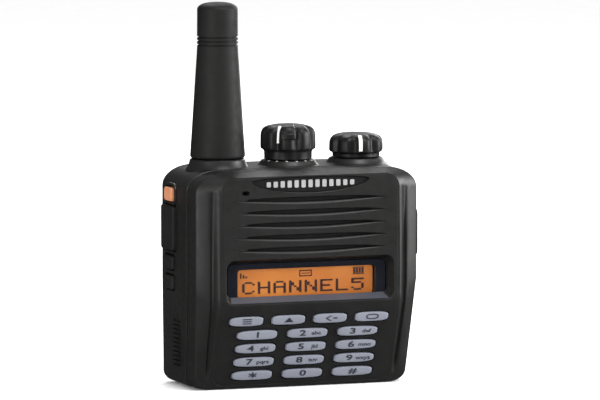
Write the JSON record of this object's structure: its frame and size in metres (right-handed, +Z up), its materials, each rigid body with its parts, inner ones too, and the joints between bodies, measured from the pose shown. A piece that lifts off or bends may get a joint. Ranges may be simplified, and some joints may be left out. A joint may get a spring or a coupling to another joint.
{
  "type": "two way radio",
  "caption": "Handheld two way radio with a stub antenna, channel and volume knobs, keypad, amber display, side buttons and a sprung belt clip.",
  "frame": {"origin": "middle of the flat base, which the radio stands on", "axes": "+X to the radio's right-hand side seen from its front (the jack side), +Y out of its back, +Z up along the antenna"},
  "size_m": [0.0832, 0.0512, 0.1305],
  "materials": {
    "black_plastic": "fine moulded texture",
    "dark_plastic": "smooth moulded",
    "black_rubber": "matt",
    "grey_key": "translucent keytop",
    "orange_plastic": "moulded",
    "window_plastic": "hard-coated window",
    "amber_lcd": "lit amber panel",
    "white_plastic": "light guide",
    "circuit_board": "solder-masked laminate",
    "cast_metal": "die cast",
    "steel": "plated",
    "brass": "turned",
    "copper": "drawn wire",
    "speaker_paper": "treated cone",
    "cell_wrap": "shrink wrap"
  },
  "bodies": {
    "housing": {"front_case": "black_plastic", "rear_case": "black_plastic", "case_gasket": "black_rubber", "case_screw_left": "steel", "case_screw_right": "steel", "display_window": "window_plastic", "badge_plate": "dark_plastic", "keypad_membrane": "black_rubber", "lcd_panel": "amber_lcd", "lcd_backlight": "white_plastic", "speaker_frame": "steel", "speaker_cone": "speaker_paper", "speaker_magnet": "cast_metal", "keypad_board": "circuit_board", "main_board": "circuit_board", "shield_can": "steel", "chassis": "cast_metal", "microphone": "dark_plastic", "antenna_sheath": "black_rubber", "antenna_coil": "copper", "antenna_plug": "brass", "antenna_socket": "brass", "channel_encoder": "black_plastic", "volume_potentiometer": "black_plastic", "side_switch_board": "circuit_board", "jack_block": "dark_plastic", "battery_case": "black_plastic", "battery_cells": "cell_wrap", "belt_clip_bracket": "black_plastic", "belt_clip_pin": "steel", "belt_clip_spring": "steel", "clip_screw_left": "steel", "clip_screw_right": "steel"},
    "key_menu": {"key_menu": "grey_key"},
    "key_a": {"key_a": "grey_key"},
    "key_b": {"key_b": "grey_key"},
    "key_back": {"key_back": "grey_key"},
    "key_1": {"key_1": "grey_key"},
    "key_2": {"key_2": "grey_key"},
    "key_3": {"key_3": "grey_key"},
    "key_4": {"key_4": "grey_key"},
    "key_5": {"key_5": "grey_key"},
    "key_6": {"key_6": "grey_key"},
    "key_7": {"key_7": "grey_key"},
    "key_8": {"key_8": "grey_key"},
    "key_9": {"key_9": "grey_key"},
    "key_star": {"key_star": "grey_key"},
    "key_0": {"key_0": "grey_key"},
    "key_hash": {"key_hash": "grey_key"},
    "emergency_button": {"emergency_button": "orange_plastic"},
    "ptt_button": {"ptt_button": "black_rubber"},
    "side_key_upper": {"side_key_upper": "black_rubber"},
    "side_key_lower": {"side_key_lower": "black_rubber"},
    "channel_control": {"channel_knob": "dark_plastic", "channel_shaft": "steel"},
    "volume_control": {"volume_knob": "dark_plastic", "volume_shaft": "steel"},
    "jack_cover": {"jack_cover": "black_rubber"},
    "belt_clip": {"belt_clip": "black_plastic"},
    "battery_latch": {"battery_latch": "dark_plastic"}
  },
  "joints": [
    {"name": "key_menu_press", "type": "slide", "parent": "housing", "child": "key_menu", "axis": [0, 1, 0], "range_m": [0, 0.0006], "stiffness_N_per_m": 300},
    {"name": "key_a_press", "type": "slide", "parent": "housing", "child": "key_a", "axis": [0, 1, 0], "range_m": [0, 0.0006], "stiffness_N_per_m": 300},
    {"name": "key_b_press", "type": "slide", "parent": "housing", "child": "key_b", "axis": [0, 1, 0], "range_m": [0, 0.0006], "stiffness_N_per_m": 300},
    {"name": "key_back_press", "type": "slide", "parent": "housing", "child": "key_back", "axis": [0, 1, 0], "range_m": [0, 0.0006], "stiffness_N_per_m": 300},
    {"name": "key_1_press", "type": "slide", "parent": "housing", "child": "key_1", "axis": [0, 1, 0], "range_m": [0, 0.0006], "stiffness_N_per_m": 300},
    {"name": "key_2_press", "type": "slide", "parent": "housing", "child": "key_2", "axis": [0, 1, 0], "range_m": [0, 0.0006], "stiffness_N_per_m": 300},
    {"name": "key_3_press", "type": "slide", "parent": "housing", "child": "key_3", "axis": [0, 1, 0], "range_m": [0, 0.0006], "stiffness_N_per_m": 300},
    {"name": "key_4_press", "type": "slide", "parent": "housing", "child": "key_4", "axis": [0, 1, 0], "range_m": [0, 0.0006], "stiffness_N_per_m": 300},
    {"name": "key_5_press", "type": "slide", "parent": "housing", "child": "key_5", "axis": [0, 1, 0], "range_m": [0, 0.0006], "stiffness_N_per_m": 300},
    {"name": "key_6_press", "type": "slide", "parent": "housing", "child": "key_6", "axis": [0, 1, 0], "range_m": [0, 0.0006], "stiffness_N_per_m": 300},
    {"name": "key_7_press", "type": "slide", "parent": "housing", "child": "key_7", "axis": [0, 1, 0], "range_m": [0, 0.0006], "stiffness_N_per_m": 300},
    {"name": "key_8_press", "type": "slide", "parent": "housing", "child": "key_8", "axis": [0, 1, 0], "range_m": [0, 0.0006], "stiffness_N_per_m": 300},
    {"name": "key_9_press", "type": "slide", "parent": "housing", "child": "key_9", "axis": [0, 1, 0], "range_m": [0, 0.0006], "stiffness_N_per_m": 300},
    {"name": "key_star_press", "type": "slide", "parent": "housing", "child": "key_star", "axis": [0, 1, 0], "range_m": [0, 0.0006], "stiffness_N_per_m": 300},
    {"name": "key_0_press", "type": "slide", "parent": "housing", "child": "key_0", "axis": [0, 1, 0], "range_m": [0, 0.0006], "stiffness_N_per_m": 300},
    {"name": "key_hash_press", "type": "slide", "parent": "housing", "child": "key_hash", "axis": [0, 1, 0], "range_m": [0, 0.0006], "stiffness_N_per_m": 300},
    {"name": "emergency_button_press", "type": "slide", "parent": "housing", "child": "emergency_button", "axis": [1, 0, 0], "range_m": [0, 0.0008], "stiffness_N_per_m": 500},
    {"name": "ptt_button_press", "type": "slide", "parent": "housing", "child": "ptt_button", "axis": [1, 0, 0], "range_m": [0, 0.0008], "stiffness_N_per_m": 500},
    {"name": "side_key_upper_press", "type": "slide", "parent": "housing", "child": "side_key_upper", "axis": [1, 0, 0], "range_m": [0, 0.0007], "stiffness_N_per_m": 500},
    {"name": "side_key_lower_press", "type": "slide", "parent": "housing", "child": "side_key_lower", "axis": [1, 0, 0], "range_m": [0, 0.0007], "stiffness_N_per_m": 500},
    {"name": "channel_knob_turn", "type": "hinge", "parent": "housing", "child": "channel_control", "pos_m": [0, 0.001, 0.08], "axis": [0, 0, 1], "continuous": true},
    {"name": "volume_knob_turn", "type": "hinge", "parent": "housing", "child": "volume_control", "pos_m": [0.0247, 0.001, 0.08], "axis": [0, 0, 1], "range_deg": [-135, 135]},
    {"name": "jack_cover_swing", "type": "hinge", "parent": "housing", "child": "jack_cover", "pos_m": [0.0403, -0.0146, 0.0515], "axis": [0, 0, -1], "range_deg": [0, 100]},
    {"name": "belt_clip_swing", "type": "hinge", "parent": "housing", "child": "belt_clip", "pos_m": [0, 0.024, 0.069], "axis": [1, 0, 0], "range_deg": [0, 20], "stiffness_Nm_per_rad": 0.3, "springref_deg": -8.59},
    {"name": "battery_latch_swing", "type": "hinge", "parent": "housing", "child": "battery_latch", "pos_m": [0, 0.0155, 0.0032], "axis": [-1, 0, 0], "range_deg": [0, 35], "stiffness_Nm_per_rad": 0.05, "springref_deg": -8.59}
  ]
}
